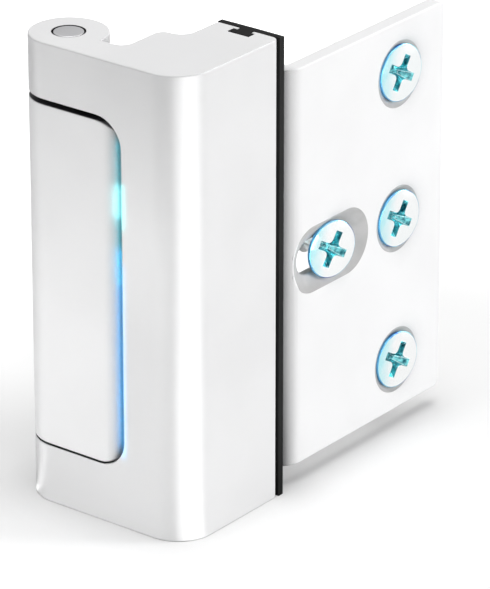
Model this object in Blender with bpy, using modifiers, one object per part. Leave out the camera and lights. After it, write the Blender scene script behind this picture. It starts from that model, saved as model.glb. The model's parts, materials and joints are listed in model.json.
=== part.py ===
# Flip door lock: a lock body that swings on a sprung hinge pin carried by a
# bracket, which four countersunk screws hold to the door frame.
#
# Lock coordinates: X runs across the front from the hinge side, Y runs back from the
# front face towards the frame, Z runs up from the foot of the lock body. The model's
# origin is on the back of the mounting plate, between the slot and the middle hole.

import math

import bmesh
import bpy
from mathutils import Vector

MM = 0.001

# Overall sizes
LOCK_HEIGHT = 76.2 * MM
LOCK_WIDTH = 33.02 * MM
LOCK_DEPTH = 66.04 * MM

# Clearances
RUNNING_GAP = 0.3 * MM      # between pieces that move on each other, and round loose fits
SEAT_GAP = 0.1 * MM         # round the rubber pad, which is slid into its slot
PRESS_TRAVEL = 0.5 * MM     # how far the lock body is pressed down before it is flipped
CUT_OVERRUN = 1.0 * MM      # how far every cutter passes the surface that it cuts

# Hinge
KNUCKLE_RADIUS = 6.2 * MM
PIN_RADIUS = 2.35 * MM
PIN_CHAMFER = 0.35 * MM
PIN_FLOOR = 2.0 * MM        # metal left under the blind bore in the lock body

# Lock body
BODY_DEPTH = 23.2 * MM      # front face to the face that carries the pad
FRONT_CORNER_RADIUS = 6.2 * MM
REAR_CORNER_RADIUS = 1.2 * MM
PAD_SEAT_WIDTH = 11.8 * MM  # width of the rear face, from the right side
SEAT_EDGE_RADIUS = 0.6 * MM
SHELF_DEPTH = 15.2 * MM     # front face to the shelf beside the pad seat
SHELF_INNER_RADIUS = 2.4 * MM
SHELF_OUTER_RADIUS = 1.7 * MM
SADDLE_WIDTH = 4.4 * MM     # gap between the knuckle and the main part, for the web
SADDLE_FILLET = 2.0 * MM

# Window in the lock body, where the fixed knuckle sits
WINDOW_FLOOR = 9.7 * MM
WINDOW_HEAD = 9.1 * MM      # metal left above the window
WINDOW_REACH = 14.9 * MM    # hinge axis to the window's edge, in the front face
WINDOW_CORNER_RADIUS = 4.9 * MM

# Bumper pad
PAD_THICKNESS = 1.3 * MM
RIB_NECK_WIDTH = 2.4 * MM
RIB_NECK_DEPTH = 0.9 * MM
RIB_BAR_WIDTH = 3.8 * MM
RIB_BAR_DEPTH = 1.3 * MM
RIB_CENTRE_SHARE = 0.48     # place of the rib across the pad, from its left edge

# Bracket
BRACKET_FOOT = 3.5 * MM     # foot of the lock body to the foot of the bracket
BRACKET_HEAD = 6.5 * MM     # top of the bracket to the top of the lock body
WEB_THICKNESS = 3.2 * MM
WEB_SETBACK_SHARE = 0.75    # web's front edge behind the saddle, in saddle fillets
LEG_THICKNESS = 2.8 * MM
PLATE_THICKNESS = 2.6 * MM
WEB_BEND_RADIUS = 4.2 * MM
WEB_INNER_RADIUS = 1.2 * MM
PLATE_BEND_RADIUS = 4.5 * MM
PLATE_INNER_RADIUS = 1.9 * MM
PLATE_END_RADIUS = 1.1 * MM
EAR_DEPTH = 10.5 * MM
EAR_FRONT_RADIUS = 3.6 * MM
EAR_BACK_RADIUS = 1.5 * MM
EAR_BACK_ANGLE = math.radians(30)

# Spring seat and washers
SPRING_SEAT_RADIUS = 4.6 * MM
SPRING_SEAT_DEPTH = 12.0 * MM
SPRING_WIRE_RADIUS = 0.35 * MM
SPRING_TURNS = 6.5
SPRING_POINTS_PER_TURN = 16
SPRING_DEAD_TURNS = 1.0
SPRING_DEAD_PITCH = 1.25 * MM
SPRING_WASHER_THICKNESS = 0.6 * MM
GLIDE_WASHER_THICKNESS = 1.0 * MM

# Fixing holes and screws. The plate's reach runs from the leg's back to the far end.
HOLE_END_SHARE = 0.31       # far end to the column of holes, in plate reaches
HOLE_SPACING_SHARE = 0.3686     # between holes, in bracket heights
SLOT_PLACE_SHARE = 0.337    # leg's back to the slot's middle, on the way to the holes
SLOT_TRAVEL_SHARE = 0.324   # slot's straight length, in the same distance
SLOT_RISE = 0.5 * MM        # slot's middle above the middle hole
SINK_MOUTH_RADIUS = 5.5 * MM
SINK_DEPTH = 1.25 * MM
SHANK_RADIUS = 2.4 * MM
HOLE_RADIUS = SHANK_RADIUS + 0.4 * MM
HEAD_RADIUS = 4.7 * MM
HEAD_RIM = 0.5 * MM
HEAD_PROUD = 0.25 * MM
HEAD_CONE_ANGLE = math.radians(65)
SCREW_LENGTH = 16.0 * MM
SCREW_TIP_LENGTH = 3.5 * MM
SCREW_TIP_RADIUS = 0.5 * MM
RECESS_REACH = 3.0 * MM
RECESS_WIDTH = 1.3 * MM
RECESS_DEPTH = 2.0 * MM
RECESS_FLOOR_SHARE = 0.45
RECESS_TURN = math.radians(-33)

# Facets
ROUND_STEPS = 48
FILLET_STEPS = 8

# Places that follow from the sizes
HINGE_X = KNUCKLE_RADIUS
HINGE_Y = KNUCKLE_RADIUS
WINDOW_TOP = LOCK_HEIGHT - WINDOW_HEAD
SEAT_LEFT = LOCK_WIDTH - PAD_SEAT_WIDTH
SADDLE_LEFT = HINGE_X + KNUCKLE_RADIUS
SADDLE_RIGHT = SADDLE_LEFT + SADDLE_WIDTH
BORE_RADIUS = PIN_RADIUS + RUNNING_GAP
PAD_FRONT = BODY_DEPTH + SEAT_GAP
PAD_BACK = PAD_FRONT + PAD_THICKNESS
RIB_CENTRE = SEAT_LEFT + PAD_SEAT_WIDTH * RIB_CENTRE_SHARE
KNUCKLE_FOOT = WINDOW_FLOOR + RUNNING_GAP
KNUCKLE_HEAD = WINDOW_TOP - RUNNING_GAP - PRESS_TRAVEL
EAR_RIGHT = HINGE_X + WINDOW_REACH - RUNNING_GAP
EAR_CORNER_RADIUS = WINDOW_CORNER_RADIUS - RUNNING_GAP
BRACKET_TOP = LOCK_HEIGHT - BRACKET_HEAD
BRACKET_MIDDLE = (BRACKET_FOOT + BRACKET_TOP) / 2
WEB_FRONT = HINGE_Y + SADDLE_FILLET * WEB_SETBACK_SHARE
WEB_LEFT = SADDLE_LEFT + RUNNING_GAP
WEB_RIGHT = WEB_LEFT + WEB_THICKNESS
LEG_FRONT = PAD_BACK + RUNNING_GAP
LEG_BACK = LEG_FRONT + LEG_THICKNESS
PLATE_FACE = LOCK_WIDTH - HEAD_PROUD
PLATE_BACK = PLATE_FACE - PLATE_THICKNESS
HOLE_Y = LOCK_DEPTH - (LOCK_DEPTH - LEG_BACK) * HOLE_END_SHARE
HOLE_SPACING = (BRACKET_TOP - BRACKET_FOOT) * HOLE_SPACING_SHARE
SLOT_Y = LEG_BACK + (HOLE_Y - LEG_BACK) * SLOT_PLACE_SHARE
SLOT_HALF = (HOLE_Y - LEG_BACK) * SLOT_TRAVEL_SHARE / 2
SPRING_SEAT_FLOOR = KNUCKLE_HEAD - SPRING_SEAT_DEPTH
WASHER_TOP = WINDOW_TOP - RUNNING_GAP
WASHER_BOTTOM = WASHER_TOP - SPRING_WASHER_THICKNESS
WASHER_RADIUS = SPRING_SEAT_RADIUS - RUNNING_GAP
SPRING_COIL_RADIUS = (BORE_RADIUS + WASHER_RADIUS) / 2
HEAD_CONE_HEIGHT = (HEAD_RADIUS - SHANK_RADIUS) / math.tan(HEAD_CONE_ANGLE)
MOUNT_Y = (SLOT_Y + SLOT_HALF + HOLE_Y) / 2
ORIGIN = Vector((PLATE_BACK, MOUNT_Y, BRACKET_MIDDLE))


def clear_scene():
    for thing in list(bpy.data.objects):
        bpy.data.objects.remove(thing, do_unlink=True)


def new_collection(name):
    collection = bpy.data.collections.new(name)
    bpy.context.scene.collection.children.link(collection)
    return collection


def make_material(name, colour, roughness, metallic):
    material = bpy.data.materials.new(name)
    material.use_nodes = True
    shader = material.node_tree.nodes["Principled BSDF"]
    shader.inputs["Base Color"].default_value = (*colour, 1.0)
    shader.inputs["Roughness"].default_value = roughness
    shader.inputs["Metallic"].default_value = metallic
    return material


def arc(centre, radius, start, end, steps):
    """Points along an arc, from one angle to another, both ends included."""
    points = []
    for i in range(steps + 1):
        angle = start + (end - start) * i / steps
        points.append((centre[0] + radius * math.cos(angle), centre[1] + radius * math.sin(angle)))
    return points


def rounded(corners):
    """An outline from (x, y, radius) corners, each corner replaced by a tangent arc."""
    points = []
    count = len(corners)
    for i in range(count):
        x, y, radius = corners[i]
        here = Vector((x, y))
        if radius == 0:
            points.append((x, y))
            continue
        before = Vector(corners[i - 1][:2]) - here
        after = Vector(corners[(i + 1) % count][:2]) - here
        before.normalize()
        after.normalize()
        half = before.angle(after) / 2
        centre = here + (before + after).normalized() * (radius / math.sin(half))
        first = here + before * (radius / math.tan(half)) - centre
        last = here + after * (radius / math.tan(half)) - centre
        start = math.atan2(first.y, first.x)
        turn = math.atan2(last.y, last.x) - start
        turn = (turn + math.pi) % (2 * math.pi) - math.pi
        points += arc(centre, radius, start, start + turn, FILLET_STEPS)
    return points


def as_mesh(curve_object, collection):
    """The curve object's evaluated shape as a mesh object with its caps welded on."""
    depsgraph = bpy.context.evaluated_depsgraph_get()
    mesh = bpy.data.meshes.new_from_object(curve_object.evaluated_get(depsgraph))
    work = bmesh.new()
    work.from_mesh(mesh)
    bmesh.ops.remove_doubles(work, verts=work.verts, dist=0.001 * MM)
    bmesh.ops.recalc_face_normals(work, faces=work.faces)
    work.to_mesh(mesh)
    work.free()
    name = curve_object.name
    matrix = curve_object.matrix_world.copy()
    bpy.data.objects.remove(curve_object, do_unlink=True)
    mesh.name = name
    solid = bpy.data.objects.new(name, mesh)
    solid.matrix_world = matrix
    collection.objects.link(solid)
    return solid


def extruded(name, points, low, high, collection, across=None):
    """A solid from a flat outline, from low to high along Z, or along across: X or Y.

    Along Y the outline is in (x, z), and along X it is in (y, z).
    """
    curve = bpy.data.curves.new(name, "CURVE")
    curve.dimensions = "2D"
    curve.fill_mode = "BOTH"
    curve.extrude = (high - low) / 2
    spline = curve.splines.new("POLY")
    spline.points.add(len(points) - 1)
    for point, (x, y) in zip(spline.points, points):
        point.co = (x, y, 0, 1)
    spline.use_cyclic_u = True
    flat = bpy.data.objects.new(name, curve)
    collection.objects.link(flat)
    middle = (low + high) / 2
    if across == "Y":
        flat.rotation_euler = (math.pi / 2, 0, 0)
        flat.location = (0, middle, 0)
    elif across == "X":
        flat.rotation_euler = (math.pi / 2, 0, math.pi / 2)
        flat.location = (middle, 0, 0)
    else:
        flat.location = (0, 0, middle)
    bpy.context.view_layer.update()
    return as_mesh(flat, collection)


def turned(name, profile, collection, steps=ROUND_STEPS):
    """A solid of revolution about Z. The profile runs down the outside, top to bottom."""
    mesh = bpy.data.meshes.new(name)
    verts = [(x, 0, z) for x, z in profile]
    edges = [(i, i + 1) for i in range(len(profile) - 1)]
    if profile[0][0] > 0:
        edges.append((len(profile) - 1, 0))
    mesh.from_pydata(verts, edges, [])
    solid = bpy.data.objects.new(name, mesh)
    collection.objects.link(solid)
    screw = solid.modifiers.new("Turn", "SCREW")
    screw.axis = "Z"
    screw.steps = steps
    screw.render_steps = steps
    screw.use_merge_vertices = True
    screw.merge_threshold = 0.001 * MM
    return solid


def boolean(target, cutter, operation="DIFFERENCE"):
    cut = target.modifiers.new(f"{operation.title()} {cutter.name}", "BOOLEAN")
    cut.operation = operation
    cut.solver = "EXACT"
    cut.object = cutter
    return cut


def finish(solid, parent, material):
    """Parents the piece, gives it its material and shades its round faces smooth."""
    solid.parent = parent
    solid.data.materials.clear()
    solid.data.materials.append(material)
    solid.data.shade_smooth()
    solid.data.set_sharp_from_angle(angle=math.radians(30))
    return solid


def as_cutter(solid, parent):
    solid.parent = parent
    solid.hide_render = True
    solid.display_type = "WIRE"
    return solid


def body_outline():
    """The lock body's extruded section, with its knuckle and the slot for the pad's rib."""
    neck = RIB_NECK_WIDTH / 2 + SEAT_GAP
    bar = RIB_BAR_WIDTH / 2 + SEAT_GAP
    neck_floor = BODY_DEPTH - RIB_NECK_DEPTH + SEAT_GAP
    bar_floor = BODY_DEPTH - RIB_NECK_DEPTH - RIB_BAR_DEPTH - SEAT_GAP
    main = rounded([
        (HINGE_X, 0, 0),
        (LOCK_WIDTH, 0, FRONT_CORNER_RADIUS),
        (LOCK_WIDTH, BODY_DEPTH, REAR_CORNER_RADIUS),
        (RIB_CENTRE + neck, BODY_DEPTH, 0),
        (RIB_CENTRE + neck, neck_floor, 0),
        (RIB_CENTRE + bar, neck_floor, 0),
        (RIB_CENTRE + bar, bar_floor, 0),
        (RIB_CENTRE - bar, bar_floor, 0),
        (RIB_CENTRE - bar, neck_floor, 0),
        (RIB_CENTRE - neck, neck_floor, 0),
        (RIB_CENTRE - neck, BODY_DEPTH, 0),
        (SEAT_LEFT, BODY_DEPTH, SEAT_EDGE_RADIUS),
        (SEAT_LEFT, SHELF_DEPTH, SHELF_INNER_RADIUS),
        (SADDLE_RIGHT, SHELF_DEPTH, SHELF_OUTER_RADIUS),
        (SADDLE_RIGHT, HINGE_Y, SADDLE_FILLET),
        (SADDLE_LEFT, HINGE_Y, 0),
    ])
    knuckle = arc((HINGE_X, HINGE_Y), KNUCKLE_RADIUS, 0, 1.5 * math.pi, ROUND_STEPS * 3 // 4)
    return main + knuckle[1:-1]


def swept_profile(right, corner, low, high):
    """Profile, about the hinge, of the turned shape whose front outline is a window.

    The outline lies in the front face: it ends at right, with two round corners.
    """
    front = arc((right - corner, high - corner), corner, math.pi / 2, 0, FILLET_STEPS)
    front += arc((right - corner, low + corner), corner, 0, -math.pi / 2, FILLET_STEPS)
    swept = [(math.hypot(x - HINGE_X, HINGE_Y), z) for x, z in front]
    return [(0, high)] + swept + [(0, low)]


def window_cutter(parent, cutters):
    """The turned pocket that clears the fixed knuckle and its ear through a full flip."""
    right = HINGE_X + WINDOW_REACH
    profile = swept_profile(right, WINDOW_CORNER_RADIUS, WINDOW_FLOOR, WINDOW_TOP)
    cutter = turned("cut_window", profile, cutters, ROUND_STEPS * 2)
    cutter.location = (HINGE_X, HINGE_Y, 0)
    return as_cutter(cutter, parent)


def pin_bore_cutter(parent, cutters):
    """The blind bore for the pin, down from the top of the lock body."""
    top = LOCK_HEIGHT + CUT_OVERRUN
    profile = [(0, top), (BORE_RADIUS, top), (BORE_RADIUS, PIN_FLOOR), (0, PIN_FLOOR)]
    cutter = turned("cut_pin_bore", profile, cutters)
    cutter.location = (HINGE_X, HINGE_Y, 0)
    return as_cutter(cutter, parent)


def make_lock_body(frame, hinge, parts, cutters, material):
    body = extruded("lock_body", body_outline(), 0, LOCK_HEIGHT, parts)
    # the origin moves to the hinge axis, and the shape stays where it is
    shift = Vector((HINGE_X, HINGE_Y, LOCK_HEIGHT / 2))
    for vertex in body.data.vertices:
        vertex.co = body.matrix_world @ vertex.co - shift
    body.matrix_world.identity()
    body.location = (0, 0, LOCK_HEIGHT / 2)
    boolean(body, window_cutter(frame, cutters))
    boolean(body, pin_bore_cutter(frame, cutters))
    return finish(body, hinge, material)


def make_pad(hinge, parts, material):
    """The rubber pad, with the tee rib that slides into the lock body's slot."""
    neck = RIB_NECK_WIDTH / 2
    bar = RIB_BAR_WIDTH / 2
    neck_floor = BODY_DEPTH - RIB_NECK_DEPTH
    bar_floor = neck_floor - RIB_BAR_DEPTH
    outline = rounded([
        (SEAT_LEFT, PAD_FRONT, 0),
        (RIB_CENTRE - neck, PAD_FRONT, 0),
        (RIB_CENTRE - neck, neck_floor, 0),
        (RIB_CENTRE - bar, neck_floor, 0),
        (RIB_CENTRE - bar, bar_floor, RIB_NECK_DEPTH / 3),
        (RIB_CENTRE + bar, bar_floor, RIB_NECK_DEPTH / 3),
        (RIB_CENTRE + bar, neck_floor, 0),
        (RIB_CENTRE + neck, neck_floor, 0),
        (RIB_CENTRE + neck, PAD_FRONT, 0),
        (LOCK_WIDTH, PAD_FRONT, 0),
        (LOCK_WIDTH, PAD_BACK, PAD_THICKNESS / 3),
        (SEAT_LEFT, PAD_BACK, PAD_THICKNESS / 3),
    ])
    outline = [(x - HINGE_X, y - HINGE_Y) for x, y in outline]
    pad = extruded("bumper_pad", outline, 0, LOCK_HEIGHT, parts)
    return finish(pad, hinge, material)


def make_pin(hinge, parts, material):
    foot = PIN_FLOOR + RUNNING_GAP
    profile = [
        (0, LOCK_HEIGHT),
        (PIN_RADIUS - PIN_CHAMFER, LOCK_HEIGHT),
        (PIN_RADIUS, LOCK_HEIGHT - PIN_CHAMFER),
        (PIN_RADIUS, foot + PIN_CHAMFER),
        (PIN_RADIUS - PIN_CHAMFER, foot),
        (0, foot),
    ]
    return finish(turned("hinge_pin", profile, parts), hinge, material)


def make_washer(name, low, high, hinge, parts, material):
    profile = [
        (BORE_RADIUS, high),
        (WASHER_RADIUS, high),
        (WASHER_RADIUS, low),
        (BORE_RADIUS, low),
    ]
    return finish(turned(name, profile, parts, ROUND_STEPS // 2), hinge, material)


def spring_rise(turn, free_pitch):
    """Height of the wire after so many turns: close end turns, and an even pitch between."""
    lower = min(turn, SPRING_DEAD_TURNS)
    free = min(max(turn - SPRING_DEAD_TURNS, 0), SPRING_TURNS - 2 * SPRING_DEAD_TURNS)
    upper = max(turn - SPRING_TURNS + SPRING_DEAD_TURNS, 0)
    return (lower + upper) * SPRING_DEAD_PITCH + free * free_pitch


def make_spring(hinge, parts, material):
    """The compression spring round the pin, in its seat at the top of the fixed knuckle."""
    low = SPRING_SEAT_FLOOR + RUNNING_GAP + SPRING_WIRE_RADIUS
    high = WASHER_BOTTOM - RUNNING_GAP - SPRING_WIRE_RADIUS
    dead = 2 * SPRING_DEAD_TURNS * SPRING_DEAD_PITCH
    free_pitch = (high - low - dead) / (SPRING_TURNS - 2 * SPRING_DEAD_TURNS)
    count = int(SPRING_TURNS * SPRING_POINTS_PER_TURN) + 1
    curve = bpy.data.curves.new("return_spring", "CURVE")
    curve.dimensions = "3D"
    curve.bevel_depth = SPRING_WIRE_RADIUS
    curve.bevel_resolution = 1
    curve.use_fill_caps = True
    spline = curve.splines.new("POLY")
    spline.points.add(count - 1)
    for i in range(count):
        turn = SPRING_TURNS * i / (count - 1)
        angle = 2 * math.pi * turn
        x = SPRING_COIL_RADIUS * math.cos(angle)
        y = SPRING_COIL_RADIUS * math.sin(angle)
        spline.points[i].co = (x, y, low + spring_rise(turn, free_pitch), 1)
    wire = bpy.data.objects.new("return_spring", curve)
    parts.objects.link(wire)
    bpy.context.view_layer.update()
    least = min(SPRING_DEAD_PITCH, free_pitch) - 2 * SPRING_WIRE_RADIUS
    print(f"return_spring: least gap between turns {least / MM:.2f} mm")
    return finish(as_mesh(wire, parts), hinge, material)


def bracket_outline():
    """The extruded section: web behind the knuckle, leg behind the pad, mounting plate."""
    return rounded([
        (WEB_LEFT, WEB_FRONT, 0),
        (WEB_RIGHT, WEB_FRONT, 0),
        (WEB_RIGHT, LEG_FRONT, WEB_INNER_RADIUS),
        (PLATE_FACE, LEG_FRONT, PLATE_BEND_RADIUS),
        (PLATE_FACE, LOCK_DEPTH, 0),
        (PLATE_BACK, LOCK_DEPTH, 0),
        (PLATE_BACK, LEG_BACK, PLATE_INNER_RADIUS),
        (WEB_LEFT, LEG_BACK, WEB_BEND_RADIUS),
    ])


def ear_outline():
    """The fixed knuckle, flush with the front, and the ear that joins it to the web.

    The ear's front edge rolls back into the window, and its root ends inside the web.
    """
    inside = WEB_THICKNESS / 3
    ear = rounded([
        (HINGE_X, 0, 0),
        (EAR_RIGHT, 0, EAR_FRONT_RADIUS),
        (EAR_RIGHT, EAR_DEPTH, EAR_BACK_RADIUS),
        (WEB_RIGHT - inside, EAR_DEPTH, 0),
        (WEB_LEFT + inside, EAR_DEPTH, 0),
    ])
    knuckle = arc((HINGE_X, HINGE_Y), KNUCKLE_RADIUS, EAR_BACK_ANGLE, 1.5 * math.pi,
                  ROUND_STEPS * 3 // 4)
    return ear + knuckle[:-1]


def ear_envelope(parent, cutters):
    """A turned shape that keeps the ear inside what the window sweeps."""
    profile = swept_profile(EAR_RIGHT, EAR_CORNER_RADIUS, KNUCKLE_FOOT, KNUCKLE_HEAD)
    steps = ROUND_STEPS * 2
    envelope = turned("keep_ear", profile, cutters, steps)
    envelope.location = (HINGE_X, HINGE_Y, 0)
    # half a facet round, so that no facet line meets a corner of the knuckle
    envelope.rotation_euler = (0, 0, math.pi / steps)
    return as_cutter(envelope, parent)


def plate_end_envelope(parent, cutters):
    """Rounds the two far corners of the mounting plate."""
    outline = rounded([
        (-CUT_OVERRUN, BRACKET_FOOT, 0),
        (LOCK_DEPTH, BRACKET_FOOT, PLATE_END_RADIUS),
        (LOCK_DEPTH, BRACKET_TOP, PLATE_END_RADIUS),
        (-CUT_OVERRUN, BRACKET_TOP, 0),
    ])
    envelope = extruded("keep_plate_end", outline, -CUT_OVERRUN, LOCK_WIDTH, cutters, across="X")
    return as_cutter(envelope, parent)


def hole_ring(work, x, y, z, radius, half):
    """A ring of vertices round a hole, drawn out by half each way along Y for a slot."""
    ring = []
    for i in range(ROUND_STEPS):
        angle = 2 * math.pi * (i + 0.5) / ROUND_STEPS
        reach = math.copysign(half, math.cos(angle))
        ring.append(work.verts.new((x, y + reach + radius * math.cos(angle), z + radius * math.sin(angle))))
    return ring


def sunk_cutter(name, y, z, half, parent, cutters):
    """A countersunk hole through the plate, lofted from its mouth to its clearance hole."""
    slope = (SINK_MOUTH_RADIUS - HOLE_RADIUS) / SINK_DEPTH
    stations = [
        (PLATE_FACE + CUT_OVERRUN, SINK_MOUTH_RADIUS + slope * CUT_OVERRUN),
        (PLATE_FACE - SINK_DEPTH, HOLE_RADIUS),
        (PLATE_BACK - CUT_OVERRUN, HOLE_RADIUS),
    ]
    mesh = bpy.data.meshes.new(name)
    work = bmesh.new()
    rings = [hole_ring(work, x, y, z, radius, half) for x, radius in stations]
    work.faces.new(rings[0])
    for first, second in zip(rings, rings[1:]):
        for i in range(ROUND_STEPS):
            j = (i + 1) % ROUND_STEPS
            work.faces.new((first[i], second[i], second[j], first[j]))
    work.faces.new(list(reversed(rings[-1])))
    bmesh.ops.recalc_face_normals(work, faces=work.faces)
    work.to_mesh(mesh)
    work.free()
    cutter = bpy.data.objects.new(name, mesh)
    cutters.objects.link(cutter)
    return as_cutter(cutter, parent)


def fixings():
    """The screws' names with their places in the plate, and the slot's half travel."""
    return [
        ("screw_top", HOLE_Y, BRACKET_MIDDLE + HOLE_SPACING, 0),
        ("screw_middle", HOLE_Y, BRACKET_MIDDLE, 0),
        ("screw_bottom", HOLE_Y, BRACKET_MIDDLE - HOLE_SPACING, 0),
        ("screw_slot", SLOT_Y, BRACKET_MIDDLE + SLOT_RISE, SLOT_HALF),
    ]


def knuckle_bore_cutter(parent, cutters):
    """The pin's bore, with the spring's seat at its top and the glide washer's at its foot."""
    high = KNUCKLE_HEAD + CUT_OVERRUN
    low = KNUCKLE_FOOT - CUT_OVERRUN
    recess_top = KNUCKLE_FOOT + GLIDE_WASHER_THICKNESS + RUNNING_GAP
    profile = [
        (0, high),
        (SPRING_SEAT_RADIUS, high),
        (SPRING_SEAT_RADIUS, SPRING_SEAT_FLOOR),
        (BORE_RADIUS, SPRING_SEAT_FLOOR),
        (BORE_RADIUS, recess_top),
        (SPRING_SEAT_RADIUS, recess_top),
        (SPRING_SEAT_RADIUS, low),
        (0, low),
    ]
    cutter = turned("cut_knuckle_bore", profile, cutters)
    cutter.location = (HINGE_X, HINGE_Y, 0)
    return as_cutter(cutter, parent)


def make_bracket(frame, parts, cutters, material):
    low = KNUCKLE_FOOT - CUT_OVERRUN
    high = KNUCKLE_HEAD + CUT_OVERRUN
    knuckle = extruded("add_knuckle", ear_outline(), low, high, cutters)
    boolean(knuckle, ear_envelope(frame, cutters), "INTERSECT")
    boolean(knuckle, knuckle_bore_cutter(frame, cutters))
    as_cutter(knuckle, frame)
    bracket = extruded("mounting_bracket", bracket_outline(), BRACKET_FOOT, BRACKET_TOP, parts)
    boolean(bracket, plate_end_envelope(frame, cutters), "INTERSECT")
    for name, y, z, half in fixings():
        boolean(bracket, sunk_cutter(f"cut_{name}", y, z, half, frame, cutters))
    boolean(bracket, knuckle, "UNION")
    return finish(bracket, frame, material)


def recess_cutter(name, turn, parent, cutters):
    """One wing pair of the cross recess: a bar whose floor is shorter than its mouth."""
    mouth, floor = RECESS_REACH, RECESS_REACH * RECESS_FLOOR_SHARE
    slope = (mouth - floor) / RECESS_DEPTH
    top = mouth + slope * CUT_OVERRUN
    outline = [(-top, CUT_OVERRUN), (-floor, -RECESS_DEPTH), (floor, -RECESS_DEPTH), (top, CUT_OVERRUN)]
    cutter = extruded(name, outline, -RECESS_WIDTH / 2, RECESS_WIDTH / 2, cutters, across="Y")
    cutter.rotation_euler.rotate_axis("Y", turn)
    return as_cutter(cutter, parent)


def make_screw(name, y, z, frame, parts, cutters, material):
    """A countersunk wood screw, turned along its own Z with its head on top."""
    cone_top = -HEAD_RIM
    shank_top = cone_top - HEAD_CONE_HEIGHT
    profile = [
        (0, 0),
        (HEAD_RADIUS, 0),
        (HEAD_RADIUS, cone_top),
        (SHANK_RADIUS, shank_top),
        (SHANK_RADIUS, SCREW_TIP_LENGTH - SCREW_LENGTH),
        (SCREW_TIP_RADIUS, -SCREW_LENGTH),
        (0, -SCREW_LENGTH),
    ]
    screw = turned(name, profile, parts, ROUND_STEPS * 2 // 3)
    screw.location = (PLATE_FACE + HEAD_PROUD, y, z)
    screw.rotation_euler = (0, math.pi / 2, 0)
    for side, turn in (("a", RECESS_TURN), ("b", RECESS_TURN + math.pi / 2)):
        boolean(screw, recess_cutter(f"cut_{name}_{side}", turn, screw, cutters))
    return finish(screw, frame, material)


def make_empty(name, location, parent, collection):
    empty = bpy.data.objects.new(name, None)
    empty.location = location
    empty.parent = parent
    collection.objects.link(empty)
    return empty


def build():
    clear_scene()
    parts = new_collection("flip_door_lock")
    cutters = new_collection("cutters")

    white = make_material("white_aluminium", (0.86, 0.86, 0.87), 0.38, 0.0)
    rubber = make_material("black_rubber", (0.02, 0.02, 0.02), 0.75, 0.0)
    steel = make_material("pin_steel", (0.55, 0.55, 0.56), 0.35, 1.0)
    wire = make_material("spring_steel", (0.42, 0.42, 0.43), 0.3, 1.0)
    nylon = make_material("washer_nylon", (0.75, 0.74, 0.7), 0.5, 0.0)
    zinc = make_material("blue_zinc", (0.72, 0.82, 0.86), 0.22, 1.0)

    frame = make_empty("lock_frame", -ORIGIN, None, parts)
    hinge = make_empty("hinge_axis", (HINGE_X, HINGE_Y, 0), frame, parts)

    make_bracket(frame, parts, cutters, white)
    make_lock_body(frame, hinge, parts, cutters, white)
    make_pad(hinge, parts, rubber)
    make_pin(hinge, parts, steel)
    make_spring(hinge, parts, wire)
    make_washer("spring_washer", WASHER_BOTTOM, WASHER_TOP, hinge, parts, nylon)
    make_washer("glide_washer", KNUCKLE_FOOT, KNUCKLE_FOOT + GLIDE_WASHER_THICKNESS,
                hinge, parts, nylon)
    for name, y, z, _ in fixings():
        make_screw(name, y, z, frame, parts, cutters, zinc)
    bpy.context.view_layer.update()


build()
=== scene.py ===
# %% [markdown]
# # A flip door lock
# This lock is two white aluminium extrusions on one steel pin. The bracket is screwed to a
# door frame with four countersunk screws. The lock body swings on the pin, and stands in
# front of the door when it is closed. A black rubber pad on its back meets the door.
#
# The sizes come from the CAD model, which is loaded first as a fixed frame. Each piece that
# is modelled here takes its place from the CAD piece that it stands for.

# %% Load the CAD model
import json
import math

import bmesh
import bpy
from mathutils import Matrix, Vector


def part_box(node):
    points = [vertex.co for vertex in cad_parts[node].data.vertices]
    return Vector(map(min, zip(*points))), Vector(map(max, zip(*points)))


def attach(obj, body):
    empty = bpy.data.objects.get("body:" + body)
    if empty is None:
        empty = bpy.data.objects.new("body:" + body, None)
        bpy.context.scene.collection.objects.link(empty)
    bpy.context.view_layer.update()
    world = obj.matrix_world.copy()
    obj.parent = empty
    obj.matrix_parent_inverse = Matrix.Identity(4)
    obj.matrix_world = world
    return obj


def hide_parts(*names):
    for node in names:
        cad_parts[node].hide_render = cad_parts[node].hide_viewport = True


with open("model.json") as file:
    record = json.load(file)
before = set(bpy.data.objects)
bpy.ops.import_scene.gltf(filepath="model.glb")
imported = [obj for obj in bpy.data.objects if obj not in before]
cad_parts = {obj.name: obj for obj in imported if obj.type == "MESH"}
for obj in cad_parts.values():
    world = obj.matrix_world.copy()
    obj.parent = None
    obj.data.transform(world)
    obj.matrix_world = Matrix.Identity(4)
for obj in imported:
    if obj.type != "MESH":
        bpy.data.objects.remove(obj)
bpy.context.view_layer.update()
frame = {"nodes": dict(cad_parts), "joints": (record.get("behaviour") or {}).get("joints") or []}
MM = 0.001
body_low, body_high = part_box("lock_body")
print("lock body, mm:", [round(size / MM, 1) for size in body_high - body_low])

# %% [markdown]
# ## Small helpers
# An operator acts on whatever is selected, so every step starts by deselecting everything and
# picking one piece. In edit mode, the faces and edges to work on are then chosen by their
# place, as one would click on them in the window.

# %% Helpers for selecting and editing
SMOOTH = math.radians(35)   # faces that meet at less than this are shaded as one round face
FACES = 0.9                 # a face faces a direction when its normal points this far along it
SQUARE = 0.95               # the same for a face that is square to the direction


def take(piece):
    """Makes a piece the only selected one, and the active one."""
    bpy.ops.object.select_all(action="DESELECT")
    piece.select_set(True)
    bpy.context.view_layer.objects.active = piece


def edit(piece, kind):
    """Opens a piece in edit mode with nothing selected. kind is VERT, EDGE or FACE."""
    take(piece)
    bpy.ops.object.mode_set(mode="EDIT")
    bpy.ops.mesh.select_mode(type=kind)
    bpy.ops.mesh.select_all(action="DESELECT")


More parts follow.
